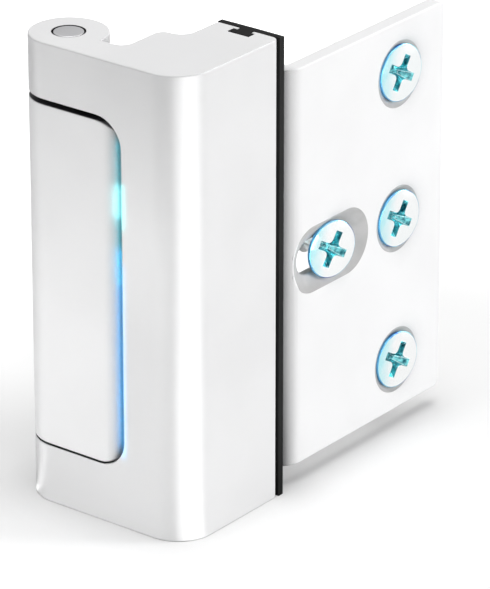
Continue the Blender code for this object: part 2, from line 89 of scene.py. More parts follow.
def pick(piece, kind, test):
    """Selects the vertices, edges or faces for which test is true, and says how many."""
    mesh = bmesh.from_edit_mesh(piece.data)
    mesh.normal_update()
    chosen = [part for part in getattr(mesh, kind) if test(part)]
    for part in chosen:
        part.select_set(True)
    mesh.select_flush_mode()
    bmesh.update_edit_mesh(piece.data)
    return len(chosen)


def close_edit():
    """Goes back to object mode."""
    bpy.ops.object.mode_set(mode="OBJECT")


def middle(edge):
    """The middle of an edge."""
    return (edge.verts[0].co + edge.verts[1].co) / 2


def turns_by(edge):
    """How sharply the surface turns at an edge, in radians."""
    return edge.calc_face_angle(0.0)


def apply_modifier(piece, kind, **settings):
    """Adds a modifier to a piece, sets it up and applies it."""
    take(piece)
    modifier = piece.modifiers.new(kind.title(), kind)
    for name, value in settings.items():
        setattr(modifier, name, value)
    bpy.ops.object.modifier_apply(modifier=modifier.name)


def cut_with(piece, tool):
    """Cuts a tool out of a piece, and removes the tool."""
    apply_modifier(piece, "BOOLEAN", object=tool, operation="DIFFERENCE", solver="EXACT")
    bpy.data.objects.remove(tool, do_unlink=True)


def shade(piece):
    """Smooths the round faces, and leaves the large flat faces truly flat."""
    take(piece)
    bpy.ops.object.shade_smooth_by_angle(angle=SMOOTH)
    apply_modifier(piece, "WEIGHTED_NORMAL", keep_sharp=True, weight=100)


def direction(azimuth, height):
    """A direction away from the lock, in degrees: from the front round to the right, and up."""
    azimuth, height = math.radians(azimuth), math.radians(height)
    return Vector((
        math.sin(azimuth) * math.cos(height),
        -math.cos(azimuth) * math.cos(height),
        math.sin(height),
    ))

# %% [markdown]
# ## The camera
# The photograph was taken a little above the lock and to the right of its front. A long lens
# from about 0.7 m gives the same mild perspective. The place was found by matching corners of
# the lock between the photograph and the CAD model.

# %% Camera
CAMERA_AZIMUTH = 37.88      # degrees from straight in front, round to the right
CAMERA_HEIGHT = 23.84       # degrees above the horizon
CAMERA_DISTANCE = 730 * MM
SENSOR_HEIGHT = 36          # of a 35 mm camera held upright, in mm
CAMERA_LENS = 288.2         # in mm
AIM_MIDDLE = Vector((16.5, 25.0, 38.1)) * MM    # from the foot of the lock body's left front
AIM_RIGHT = 6.76 * MM       # how far the picture's middle is then moved to the right, and up
AIM_UP = -8.08 * MM

towards = direction(CAMERA_AZIMUTH, CAMERA_HEIGHT)
right = direction(CAMERA_AZIMUTH + 90, 0)
aim = body_low + AIM_MIDDLE + right * AIM_RIGHT + towards.cross(right) * AIM_UP

camera = bpy.data.objects.new("camera", bpy.data.cameras.new("camera"))
bpy.context.scene.collection.objects.link(camera)
camera.location = aim + towards * CAMERA_DISTANCE
camera.rotation_euler = towards.to_track_quat("Z", "Y").to_euler()
camera.data.sensor_fit = "VERTICAL"
camera.data.sensor_height = SENSOR_HEIGHT
camera.data.lens = CAMERA_LENS
camera.data.clip_start = 0.01
bpy.context.scene.camera = camera
print("camera, mm:", [round(value / MM) for value in camera.location])

# %% [markdown]
# ## The lock body and the bracket
# Both are aluminium extrusions, sawn to length, drilled and milled, and then coated. The CAD
# solids have the right shape, but their edges are perfectly sharp, and no real edge is. A
# rounded edge a fifth of a millimetre wide catches a thin line of light, which is what shows
# an edge as an edge in the photograph. So each solid is copied, its triangles are merged back
# into flat faces, and its edges are bevelled. A face can't have a hole in it, so a cut is first
# made straight through the middle of each hole, and the faces are merged up to that cut.

# %% Copy a CAD solid as clean faces
WELD = 0.002 * MM           # places nearer to each other than this are one
FLAT = math.radians(0.6)    # faces that turn by less than this are one


def clean_copy(node, name, cuts):
    """A copy of a CAD node with its triangles merged into flat faces, which end at the cuts."""
    piece = bpy.data.objects.new(name, frame["nodes"][node].data.copy())
    bpy.context.scene.collection.objects.link(piece)
    piece.data.materials.clear()
    edit(piece, "VERT")
    bpy.ops.mesh.customdata_custom_splitnormals_clear()
    bpy.ops.mesh.select_all(action="SELECT")
    bpy.ops.mesh.remove_doubles(threshold=WELD)
    for y in cuts:
        bpy.ops.mesh.select_all(action="SELECT")
        bpy.ops.mesh.bisect(plane_co=(0, y, 0), plane_no=(0, 1, 0))
        bpy.ops.mesh.mark_seam()
    bpy.ops.mesh.select_all(action="SELECT")
    bpy.ops.mesh.dissolve_limited(angle_limit=FLAT, delimit={"SEAM"})
    close_edit()
    print(name, "has", len(piece.data.polygons), "faces after merging")
    return piece


hinge_axis = Vector(next(j["pos_m"] for j in frame["joints"] if j["name"] == "flip"))
KNUCKLE_RADIUS = hinge_axis.x - body_low.x
hole_y, slot_y = [
    (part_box(name)[0].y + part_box(name)[1].y) / 2 for name in ("screw_top", "screw_slot")]
body = clean_copy("lock_body", "lock_body_coated", [hinge_axis.y])
bracket = clean_copy("mounting_bracket", "bracket_coated", [hinge_axis.y, slot_y, hole_y])

# %% Round the edges
EDGE_ROUND = 0.22 * MM
SHARP = math.radians(38)    # edges that turn by more than this are sharp
RIM_REACH = KNUCKLE_RADIUS - 0.2 * MM       # the bores' rims are nearer to the hinge than this


def from_hinge(place):
    """How far a place is from the hinge's axis."""
    return math.hypot(place.x - hinge_axis.x, place.y - hinge_axis.y)


def to_be_rounded(edge):
    """True for a sharp edge, except at the bores, whose thin rims stay crisp."""
    return turns_by(edge) > SHARP and from_hinge(middle(edge)) > RIM_REACH


for piece in (body, bracket):
    edit(piece, "EDGE")
    count = pick(piece, "edges", to_be_rounded)
    bpy.ops.mesh.bevel(
        offset=EDGE_ROUND, segments=3, profile=0.5, affect="EDGES", clamp_overlap=False)
    close_edit()
    shade(piece)
    print(piece.name, "rounded", count, "edges")

# %% [markdown]
# ## The rubber pad
# The pad is one long strip of extruded rubber. A rib on its front slides into a slot in the
# lock body, and the rib's wide bar keeps it there. It is made from a box: two cuts mark out
# the rib, and the face between them is pulled out twice, the second time wider.

# %% Rubber pad
PAD_ROUND = 0.3 * MM
BAR_ROUND = PAD_ROUND * 1.5
NECK_HALF = 1.2 * MM        # half of the rib's width where it leaves the pad
BAR_HALF = 1.9 * MM         # half of the width of the bar at its end
BAR_DEPTH = 1.3 * MM
RIB_GAP = 0.1 * MM          # between the pad's front and the lock body's back
RIB_PLACE = 0.48            # from the pad's left side, as a share of its width
pad_low, pad_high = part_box("bumper_pad")
pad_front = body_high.y + RIB_GAP
rib_centre = pad_low.x + (pad_high.x - pad_low.x) * RIB_PLACE
strip_low = Vector((pad_low.x, pad_front, pad_low.z))

bpy.ops.object.select_all(action="DESELECT")
bpy.ops.mesh.primitive_cube_add(
    size=1, location=(strip_low + pad_high) / 2, scale=pad_high - strip_low)
pad = bpy.context.object
pad.name = "rubber_pad"
bpy.ops.object.transform_apply(location=True, rotation=True, scale=True)
for side in (-NECK_HALF, NECK_HALF):
    edit(pad, "FACE")
    bpy.ops.mesh.select_all(action="SELECT")
    bpy.ops.mesh.bisect(plane_co=(rib_centre + side, 0, 0), plane_no=(1, 0, 0))
    close_edit()


def on_rib_front(face):
    """True for the face in front of the rib's place."""
    place = face.calc_center_median()
    return face.normal.y < -FACES and abs(place.x - rib_centre) < NECK_HALF


edit(pad, "FACE")
pick(pad, "faces", on_rib_front)
neck_length = pad_front - pad_low.y - BAR_DEPTH
bpy.ops.mesh.extrude_region_move(TRANSFORM_OT_translate={"value": (0, -neck_length, 0)})
bpy.ops.mesh.extrude_region_move(TRANSFORM_OT_translate={"value": (0, 0, 0)})
bpy.ops.transform.resize(
    value=(BAR_HALF / NECK_HALF, 1, 1), center_override=(rib_centre, pad_low.y, 0))
bpy.ops.mesh.extrude_region_move(TRANSFORM_OT_translate={"value": (0, -BAR_DEPTH, 0)})
close_edit()
edit(pad, "EDGE")
pick(pad, "edges", lambda edge: turns_by(edge) > SHARP and middle(edge).y > pad_high.y - WELD)
bpy.ops.mesh.bevel(offset=PAD_ROUND, segments=4, profile=0.5, affect="EDGES")
bpy.ops.mesh.select_all(action="DESELECT")
pick(pad, "edges", lambda edge: middle(edge).y < pad_low.y + WELD and abs(middle(edge).z) < MM)
bpy.ops.mesh.bevel(offset=BAR_ROUND, segments=2, profile=0.5, affect="EDGES")
close_edit()
shade(pad)
print("rubber pad, mm:", [round(size / MM, 2) for size in pad.dimensions])

# %% [markdown]
# ## The hinge pin
# The pin is a length of ground steel rod with its ends chamfered on a lathe. Only its top end
# shows, set in the knuckle with a fine dark ring round it.

# %% Hinge pin
PIN_CHAMFER = 0.15 * MM
ROUND_STEPS = 96            # sides of a piece that is turned on a lathe
pin_low, pin_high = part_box("hinge_pin")
pin_radius = (pin_high.x - pin_low.x) / 2
bpy.ops.object.select_all(action="DESELECT")
bpy.ops.mesh.primitive_cylinder_add(
    vertices=ROUND_STEPS, radius=pin_radius, depth=pin_high.z - pin_low.z,
    location=(hinge_axis.x, hinge_axis.y, (pin_low.z + pin_high.z) / 2))
pin = bpy.context.object
pin.name = "hinge_pin_ground"
bpy.ops.object.transform_apply(location=True, rotation=True, scale=True)
edit(pin, "EDGE")
pick(pin, "edges", lambda edge: turns_by(edge) > SHARP)
bpy.ops.mesh.bevel(offset=PIN_CHAMFER, segments=3, profile=0.5, affect="EDGES")
close_edit()
shade(pin)

# %% [markdown]
# ## The screws
# Four countersunk wood screws hold the bracket. A screw's head is turned from a profile, so
# half of its outline is drawn here as a chain of points and spun once round. The cross recess
# is cut with a tool that is wide at the mouth and narrow at the bottom, and the thread is a
# small triangle carried along a helix. One screw is modelled, and then copied. In the
# photograph the heads aren't square to the plate, as with screws that were driven by hand, so
# each copy leans a little towards the front.

# %% Draw and spin a profile
def chain(name, points):
    """A chain of edges through points, extruded one after another from a single vertex."""
    bpy.ops.object.select_all(action="DESELECT")
    bpy.ops.mesh.primitive_plane_add(size=MM)
    piece = bpy.context.object
    piece.name = name
    edit(piece, "VERT")
    bpy.ops.mesh.select_all(action="SELECT")
    bpy.ops.mesh.merge(type="CENTER")
    bpy.ops.mesh.select_all(action="SELECT")
    bpy.ops.transform.translate(value=points[0])
    for start, end in zip(points, points[1:]):
        step = Vector(end) - Vector(start)
        bpy.ops.mesh.extrude_region_move(TRANSFORM_OT_translate={"value": step})
    close_edit()
    return piece


def spin_round(piece):
    """Spins a chain once round the Z axis and closes the seam."""
    edit(piece, "VERT")
    bpy.ops.mesh.select_all(action="SELECT")
    bpy.ops.mesh.spin(steps=ROUND_STEPS, angle=2 * math.pi, center=(0, 0, 0), axis=(0, 0, 1))
    bpy.ops.mesh.select_all(action="SELECT")
    bpy.ops.mesh.remove_doubles(threshold=WELD)
    bpy.ops.mesh.normals_make_consistent(inside=False)
    close_edit()
    return piece

# %% Turn the head and the core
screw_low, screw_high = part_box("screw_top")
head_radius = (screw_high.y - screw_low.y) / 2
screw_length = screw_high.x - screw_low.x
HEAD_RIM = 0.5 * MM
HEAD_CORNER = 0.16 * MM
HEAD_BEND = HEAD_CORNER * 0.3       # the corner is cut by two faces that meet this far in
CORE_RADIUS = 1.75 * MM
THREAD_RADIUS = 2.38 * MM
CONE_SLOPE = math.tan(math.radians(65))
TIP_START = 12.2 * MM       # from the top of the head
POINT_RADIUS = 0.12 * MM

cone_height = (head_radius - CORE_RADIUS) / CONE_SLOPE
screw = spin_round(chain("screw_master", [
    (0, 0, 0),
    (head_radius - HEAD_CORNER, 0, 0),
    (head_radius - HEAD_BEND, 0, -HEAD_BEND),
    (head_radius, 0, -HEAD_CORNER),
    (head_radius, 0, -HEAD_RIM),
    (CORE_RADIUS, 0, -HEAD_RIM - cone_height),
    (CORE_RADIUS, 0, -TIP_START),
    (POINT_RADIUS, 0, -screw_length),
    (0, 0, -screw_length),
]))
print("screw head", round(2 * head_radius / MM, 2), "mm across")

# %% Cut the cross recess
RECESS_REACH = 3.25 * MM    # length of one arm of the cross, from the middle
RECESS_HALF = 0.75 * MM     # half of an arm's width
RECESS_DEPTH = 2.0 * MM
RECESS_LIFT = 0.3 * MM      # the tool stands out of the head by this
RECESS_FLOOR = 0.42         # size of the tool's bottom against its top
RECESS_TURN = math.radians(-29)
RECESS_CORNER = 0.85 * MM   # in the angle between two arms

bpy.ops.object.select_all(action="DESELECT")
bpy.ops.mesh.primitive_cube_add(
    size=1, location=(0, 0, (RECESS_LIFT - RECESS_DEPTH) / 2),
    scale=(2 * RECESS_HALF, 2 * RECESS_HALF, RECESS_DEPTH + RECESS_LIFT))
driver = bpy.context.object
bpy.ops.object.transform_apply(location=True, rotation=True, scale=True)
for quarter in range(4):
    angle = quarter * math.pi / 2
    out = Vector((round(math.cos(angle)), round(math.sin(angle)), 0))
    across = Vector((-out.y, out.x, 0))
    edit(driver, "FACE")
    pick(driver, "faces", lambda face: face.normal.dot(out) > FACES
         and abs(face.calc_center_median().dot(across)) < WELD)
    bpy.ops.mesh.extrude_region_move(
        TRANSFORM_OT_translate={"value": out * (RECESS_REACH - RECESS_HALF)})
    close_edit()
edit(driver, "EDGE")
pick(driver, "edges", lambda edge: abs(abs(middle(edge).x) - RECESS_HALF) < WELD
     and abs(abs(middle(edge).y) - RECESS_HALF) < WELD)
bpy.ops.mesh.bevel(offset=RECESS_CORNER, segments=3, profile=0.5, affect="EDGES")
close_edit()
edit(driver, "VERT")
pick(driver, "verts", lambda vert: vert.co.z < 0)
bpy.ops.transform.resize(
    value=(RECESS_FLOOR, RECESS_FLOOR, 1), center_override=(0, 0, -RECESS_DEPTH))
bpy.ops.mesh.select_all(action="SELECT")
bpy.ops.mesh.normals_make_consistent(inside=False)
close_edit()
driver.rotation_euler = (0, 0, RECESS_TURN)
cut_with(screw, driver)

# %% Wind the thread
PITCH = 1.75 * MM
THREAD_TOP = 4.3 * MM       # from the top of the head to the first turn
THREAD_TURNS = 6
THREAD_STEPS = 24           # to one turn
THREAD_ROOT = CORE_RADIUS - 0.15 * MM       # a little inside the core
THREAD_HALF = 0.42 * MM     # half of the thread's width at its root
RUN_OUT = 1.4 * MM          # length over which the thread grows to its full height

bpy.ops.object.select_all(action="DESELECT")
bpy.ops.mesh.primitive_circle_add(vertices=3, radius=MM, fill_type="NOTHING")
thread = bpy.context.object
thread.name = "thread"
triangle = [(THREAD_RADIUS, 0, 0), (THREAD_ROOT, 0, THREAD_HALF), (THREAD_ROOT, 0, -THREAD_HALF)]
for vertex, place in zip(thread.data.vertices, triangle):
    vertex.co = place
apply_modifier(
    thread, "SCREW", axis="Z", screw_offset=-PITCH, iterations=THREAD_TURNS,
    steps=THREAD_STEPS, render_steps=THREAD_STEPS, use_merge_vertices=False)
edit(thread, "EDGE")
bpy.ops.mesh.select_non_manifold()
bpy.ops.mesh.fill_holes(sides=3)
bpy.ops.mesh.select_all(action="SELECT")
bpy.ops.mesh.normals_make_consistent(inside=False)
bpy.ops.transform.translate(value=(0, 0, -THREAD_TOP))
close_edit()


def core_radius_at(depth):
    """The core's radius, so far below the top of the head."""
    share = max(0.0, (depth - TIP_START) / (screw_length - TIP_START))
    return CORE_RADIUS + (POINT_RADIUS - CORE_RADIUS) * share


thread_foot = max(-vertex.co.z for vertex in thread.data.vertices)
for vertex in thread.data.vertices:
    depth = -vertex.co.z
    radius = math.hypot(vertex.co.x, vertex.co.y)
    grown = min(1.0, (depth - THREAD_TOP + THREAD_HALF) / RUN_OUT, (thread_foot - depth) / RUN_OUT)
    height = (radius - CORE_RADIUS) * (grown if radius > CORE_RADIUS else 1)
    factor = max(core_radius_at(depth) + height, POINT_RADIUS) / radius
    vertex.co.x *= factor
    vertex.co.y *= factor
take(screw)
thread.select_set(True)
bpy.ops.object.join()
print("screw has", len(screw.data.polygons), "faces")

# %% Put a screw in each hole
HEAD_LIFT = 0.2 * MM        # so a head that leans isn't sunk into the metal
DRIVEN = {                  # each screw's lean in degrees, and its rise above its CAD place
    "screw_top": (6, 0.25 * MM),
    "screw_middle": (6, 0.1 * MM),
    "screw_bottom": (6, 0.1 * MM),
    "screw_slot": (12, 0.3 * MM),
}
screws = {}
take(screw)
screw.rotation_euler = (0, math.pi / 2, 0)
bpy.ops.object.transform_apply(location=False, rotation=True, scale=False)
shade(screw)
# from_axis also places each head's painted reflection on its side towards the front.
from_axis = screw.data.attributes.new("from_axis", "FLOAT_VECTOR", "POINT")
for vertex, value in zip(screw.data.vertices, from_axis.data):
    value.vector = vertex.co / head_radius      # kept by every copy, for the plating's colour
for name, (lean, rise) in DRIVEN.items():
    low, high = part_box(name)
    take(screw)
    bpy.ops.object.duplicate()
    copy = bpy.context.object
    copy.name = name + "_zinc"
    copy.location = (high.x + HEAD_LIFT, (low.y + high.y) / 2, (low.z + high.z) / 2 + rise)
    copy.rotation_euler = (0, 0, -math.radians(lean))
    bpy.ops.object.transform_apply(location=True, rotation=True, scale=False)
    screws[name] = copy
bpy.data.objects.remove(screw, do_unlink=True)

# %% [markdown]
# ## Finishes
# Each finish is a Principled BSDF fed by a little procedural texture. Each effect is built once
# as a node group: a fine grain, the faint lines that a die leaves along an extrusion, a mask
# for the edges, one for painted shade in seams and corners, and the plating's blue film with
# its painted reflection.

# %% Build node trees in a few lines
FACTOR = 0                                      # a Mix node's sockets go by their numbers
COLOUR_A, COLOUR_B, COLOUR_OUT = 6, 7, 2
VALUE_A, VALUE_B, VALUE_OUT = 2, 3, 0


def add_node(tree, kind, **settings):
    """Adds a node, and sets its properties and the defaults of its input sockets."""
    node = tree.nodes.new(kind)
    for name, value in settings.items():
        if hasattr(node, name):
            setattr(node, name, value)
        else:
            node.inputs[name.replace("_", " ")].default_value = value
    return node


def new_group(name, inputs, outputs):
    """An empty node group with float sockets, and its input and output nodes."""
    tree = bpy.data.node_groups.new(name, "ShaderNodeTree")
    for socket, value in inputs.items():
        made = tree.interface.new_socket(socket, in_out="INPUT", socket_type="NodeSocketFloat")
        made.default_value = value
    for socket in outputs:
        tree.interface.new_socket(socket, in_out="OUTPUT", socket_type="NodeSocketFloat")
    return tree, tree.nodes.new("NodeGroupInput"), tree.nodes.new("NodeGroupOutput")


def use_group(tree, group, **values):
    """Adds a node that stands for a group, and sets its input sockets."""
    node = tree.nodes.new("ShaderNodeGroup")
    node.node_tree = group
    for name, value in values.items():
        node.inputs[name.replace("_", " ")].default_value = value
    return node

# %% Effect: fine grain, and soft clouds
grain_group, given, result = new_group(
    "fine_grain", {"Scale": 2500.0, "Cloud Scale": 60.0}, ["Grain", "Cloud"])
place = add_node(grain_group, "ShaderNodeTexCoord")
fine = add_node(grain_group, "ShaderNodeTexNoise", Detail=3.0, Roughness=0.6)
cloud = add_node(grain_group, "ShaderNodeTexNoise", Detail=2.0)
stretch = add_node(grain_group, "ShaderNodeMapRange", From_Min=0.35, From_Max=0.65)
grain_group.links.new(given.outputs["Scale"], fine.inputs["Scale"])
grain_group.links.new(given.outputs["Cloud Scale"], cloud.inputs["Scale"])
for texture in (fine, cloud):
    grain_group.links.new(place.outputs["Object"], texture.inputs["Vector"])
grain_group.links.new(fine.outputs["Fac"], result.inputs["Grain"])
grain_group.links.new(cloud.outputs["Fac"], stretch.inputs["Value"])
grain_group.links.new(stretch.outputs["Result"], result.inputs["Cloud"])

# %% Effect: lines along an extrusion
lines_group, given, result = new_group("die_lines", {"Scale": 900.0}, ["Lines"])
place = add_node(lines_group, "ShaderNodeTexCoord")
stretch = add_node(lines_group, "ShaderNodeMapping", Scale=(1.0, 1.0, 0.012))
streaks = add_node(lines_group, "ShaderNodeTexNoise", Detail=2.0)
lines_group.links.new(place.outputs["Object"], stretch.inputs["Vector"])
lines_group.links.new(stretch.outputs["Vector"], streaks.inputs["Vector"])
lines_group.links.new(given.outputs["Scale"], streaks.inputs["Scale"])
lines_group.links.new(streaks.outputs["Fac"], result.inputs["Lines"])

# %% Effect: a mask for the edges, where a rounded normal turns away from the true one
EDGE_COSINES = (0.995, 0.93)        # of that turn, where the mask begins and where it is full
edges_group, given, result = new_group("edge_mask", {"Width": 0.2 * MM}, ["Edge"])
rounded = add_node(edges_group, "ShaderNodeBevel", samples=6)
true_shape = add_node(edges_group, "ShaderNodeNewGeometry")
facing = add_node(edges_group, "ShaderNodeVectorMath", operation="DOT_PRODUCT")
remap = add_node(edges_group, "ShaderNodeMapRange",
                 From_Min=EDGE_COSINES[0], From_Max=EDGE_COSINES[1])
edges_group.links.new(given.outputs["Width"], rounded.inputs["Radius"])
edges_group.links.new(rounded.outputs["Normal"], facing.inputs[0])
edges_group.links.new(true_shape.outputs["True Normal"], facing.inputs[1])
edges_group.links.new(facing.outputs["Value"], remap.inputs["Value"])
edges_group.links.new(remap.outputs["Result"], result.inputs["Edge"])

# %% Effect: a mask for painted shade, darkest where seams and corners close round a place
OPEN_SHARES = (1.0, 0.55)           # of the view that is open, where it begins and is full
painted_shade_group, given, result = new_group("seam_mask", {"Reach": 4.0 * MM}, ["Seam"])
open_sky = add_node(painted_shade_group, "ShaderNodeAmbientOcclusion", samples=8)
remap = add_node(painted_shade_group, "ShaderNodeMapRange",
                 From_Min=OPEN_SHARES[0], From_Max=OPEN_SHARES[1])
painted_shade_group.links.new(given.outputs["Reach"], open_sky.inputs["Distance"])
painted_shade_group.links.new(open_sky.outputs["AO"], remap.inputs["Value"])
painted_shade_group.links.new(remap.outputs["Result"], result.inputs["Seam"])

# %% Effect: the plating's blue tint, with a painted cyan reflection on the same side of each screw
FILM_AND_REFLECTION_SIDE = (0.0, -0.97, 0.2)       # towards the front, and a little up
film_and_reflection_group, given, result = new_group(
    "plating_film", {"Start": 0.1, "End": 1.0, "Ripple": 0.5}, ["Film"])
place = add_node(film_and_reflection_group, "ShaderNodeAttribute", attribute_name="from_axis")
lean = add_node(film_and_reflection_group, "ShaderNodeVectorMath", operation="DOT_PRODUCT")
lean.inputs[1].default_value = FILM_AND_REFLECTION_SIDE
wave = add_node(film_and_reflection_group, "ShaderNodeTexNoise", Scale=2.2, Detail=2.0)
centred = add_node(film_and_reflection_group, "ShaderNodeMath", operation="SUBTRACT")
centred.inputs[1].default_value = 0.5
ripple = add_node(film_and_reflection_group, "ShaderNodeMath", operation="MULTIPLY_ADD")
ramp = add_node(film_and_reflection_group, "ShaderNodeMapRange", interpolation_type="SMOOTHSTEP")
film_and_reflection_group.links.new(place.outputs["Vector"], lean.inputs[0])
film_and_reflection_group.links.new(place.outputs["Vector"], wave.inputs["Vector"])
film_and_reflection_group.links.new(wave.outputs["Fac"], centred.inputs[0])
film_and_reflection_group.links.new(centred.outputs[0], ripple.inputs[0])
film_and_reflection_group.links.new(given.outputs["Ripple"], ripple.inputs[1])
film_and_reflection_group.links.new(lean.outputs["Value"], ripple.inputs[2])
film_and_reflection_group.links.new(ripple.outputs[0], ramp.inputs["Value"])
film_and_reflection_group.links.new(given.outputs["Start"], ramp.inputs["From Min"])
film_and_reflection_group.links.new(given.outputs["End"], ramp.inputs["From Max"])
film_and_reflection_group.links.new(ramp.outputs["Result"], result.inputs["Film"])

# %% A finish with colour, roughness and bump
def finish_material(name, colours, roughness, metallic, grain_scale, bump_height,
                    line_share=0.0, cloud_scale=60.0, edge_colour=None, painted_shade_colour=None,
                    film_and_reflection_colour=None, **more):
    """A Principled material. Its colour and roughness vary between the two values given.

    The line_share is how much of the texture is die lines, and the rest of it is grain. The
    edges, the painted shade in seams and corners, and the film with its painted reflection
    have their colours only where one is given.
    """
    material = bpy.data.materials.new(name)
    material.use_nodes = True
    tree = material.node_tree
    shader = tree.nodes["Principled BSDF"]
    shader.inputs["Metallic"].default_value = metallic
    for socket, value in more.items():
        shader.inputs[socket.replace("_", " ")].default_value = value
    grain = use_group(tree, grain_group, Scale=grain_scale, Cloud_Scale=cloud_scale)
    lines = use_group(tree, lines_group)
    blend = add_node(tree, "ShaderNodeMix", data_type="RGBA")
    blend.inputs[COLOUR_A].default_value = (*colours[0], 1)
    blend.inputs[COLOUR_B].default_value = (*colours[1], 1)
    tree.links.new(grain.outputs["Cloud"], blend.inputs[FACTOR])
    colour = blend.outputs[COLOUR_OUT]
    for group, wanted in ((edges_group, edge_colour), (painted_shade_group, painted_shade_colour),
                          (film_and_reflection_group, film_and_reflection_colour)):
        if wanted:
            mask = use_group(tree, group)
            tint = add_node(tree, "ShaderNodeMix", data_type="RGBA")
            tint.inputs[COLOUR_B].default_value = (*wanted, 1)
            tree.links.new(mask.outputs[0], tint.inputs[FACTOR])
            tree.links.new(colour, tint.inputs[COLOUR_A])
            colour = tint.outputs[COLOUR_OUT]
    tree.links.new(colour, shader.inputs["Base Color"])
    texture = add_node(tree, "ShaderNodeMix", data_type="FLOAT")
    texture.inputs[FACTOR].default_value = line_share
    tree.links.new(grain.outputs["Grain"], texture.inputs[VALUE_A])
    tree.links.new(lines.outputs["Lines"], texture.inputs[VALUE_B])
    rough = add_node(tree, "ShaderNodeMapRange", To_Min=roughness[0], To_Max=roughness[1])
    tree.links.new(texture.outputs[VALUE_OUT], rough.inputs["Value"])
    tree.links.new(rough.outputs["Result"], shader.inputs["Roughness"])
    bump = add_node(tree, "ShaderNodeBump", Strength=0.6, Distance=bump_height)
    tree.links.new(texture.outputs[VALUE_OUT], bump.inputs["Height"])
    tree.links.new(bump.outputs["Normal"], shader.inputs["Normal"])
    return material


def dress(piece, *materials):
    """Gives a piece its materials, the first of which covers it until faces are given others."""
    piece.data.materials.clear()
    for material in materials:
        piece.data.materials.append(material)

# %% [markdown]
# ### The finishes of this lock
# The white is a satin powder coat: nearly flat, with a very fine orange peel. The countersinks
# are cut after coating, so they show bare grey aluminium. The screws have bright blue zinc
# plating, which is thickest, and so bluest, inside the recess.

# %% Make the finishes
# The body's edges are painted darker: painted shade along each rounded edge.
body_coat = finish_material(
    "satin_white_body", ((0.79, 0.79, 0.795), (0.82, 0.82, 0.825)),
    roughness=(0.28, 0.36), metallic=0.0, grain_scale=2600.0, bump_height=0.006 * MM,
    line_share=0.35, edge_colour=(0.5, 0.5, 0.505))
# The bracket's edges are painted lighter: a painted highlight along each rounded edge.
bracket_coat = finish_material(
    "satin_white_bracket", ((0.885, 0.885, 0.89), (0.915, 0.915, 0.92)),
    roughness=(0.34, 0.44), metallic=0.0, grain_scale=2600.0, bump_height=0.006 * MM,
    # painted shade: the bracket's white turns dark grey where seams and corners close round it
    line_share=0.35, edge_colour=(0.97, 0.97, 0.975), painted_shade_colour=(0.11, 0.11, 0.115),
    Specular_IOR_Level=0.2)
cut_metal = finish_material(
    "cut_aluminium", ((0.37, 0.367, 0.367), (0.45, 0.446, 0.446)),
    roughness=(0.55, 0.70), metallic=0.1, grain_scale=4200.0, bump_height=0.01 * MM,
    cloud_scale=300.0)
# Near black, as painted shade in the narrow gaps and the bores.
painted_gap_shade = finish_material(
    "greased_gap", ((0.015, 0.015, 0.016), (0.03, 0.03, 0.031)),
    roughness=(0.35, 0.5), metallic=0.0, grain_scale=2000.0, bump_height=0.01 * MM)
black_rubber = finish_material(
    "matt_black_rubber", ((0.006, 0.006, 0.006), (0.012, 0.012, 0.012)),
    roughness=(0.62, 0.80), metallic=0.0, grain_scale=1800.0, bump_height=0.03 * MM,
    line_share=0.5, edge_colour=(0.02, 0.02, 0.02), Specular_IOR_Level=0.08)
ground_steel = finish_material(
    "ground_steel", ((0.38, 0.38, 0.39), (0.48, 0.48, 0.49)),
    roughness=(0.38, 0.52), metallic=0.9, grain_scale=3000.0, bump_height=0.01 * MM,
    edge_colour=(0.6, 0.6, 0.61))
# The cyan on the front side of each head is partly the zinc's own tint and partly a painted
# reflection, and the rim's blue leans the same way.
bright_zinc = finish_material(
    "bright_zinc", ((0.95, 0.98, 0.985), (0.98, 0.99, 0.99)),
    roughness=(0.14, 0.26), metallic=0.9, grain_scale=1500.0, bump_height=0.004 * MM,
    film_and_reflection_colour=(0.52, 0.90, 0.95))
rim_zinc = finish_material(
    "blue_zinc_on_the_rim", ((0.04, 0.12, 0.42), (0.42, 0.86, 0.96)),
    roughness=(0.16, 0.28), metallic=0.85, grain_scale=1500.0, bump_height=0.004 * MM,
    cloud_scale=420.0, film_and_reflection_colour=(0.16, 0.52, 0.86))
recess_zinc = finish_material(
    "teal_zinc_in_the_recess", ((0.0, 0.11, 0.15), (0.30, 0.84, 0.88)),
    roughness=(0.14, 0.32), metallic=0.85, grain_scale=2400.0, bump_height=0.05 * MM,
    # painted glints: the recess's edges are near white
    cloud_scale=1400.0, edge_colour=(0.80, 0.95, 0.97))
spring_wire = finish_material(
    "drawn_spring_wire", ((0.34, 0.34, 0.35), (0.44, 0.44, 0.45)),
    roughness=(0.25, 0.4), metallic=1.0, grain_scale=2500.0, bump_height=0.006 * MM)
nylon = finish_material(
    "natural_nylon", ((0.70, 0.69, 0.65), (0.76, 0.75, 0.71)),
    roughness=(0.42, 0.55), metallic=0.0, grain_scale=2000.0, bump_height=0.006 * MM)

# %% Dress the pieces
BODY_GAP = 1                        # places of the other materials in each piece's list
BRACKET_METAL, BRACKET_GAP = 1, 2
SCREW_RECESS, SCREW_RIM = 1, 2
dress(body, body_coat, painted_gap_shade)
dress(bracket, bracket_coat, cut_metal, painted_gap_shade)
dress(pad, black_rubber)
dress(pin, ground_steel)
for piece in screws.values():
    dress(piece, bright_zinc, recess_zinc, rim_zinc)
dress(frame["nodes"]["return_spring"], spring_wire)
for name in ("spring_washer", "glide_washer"):
    dress(frame["nodes"][name], nylon)

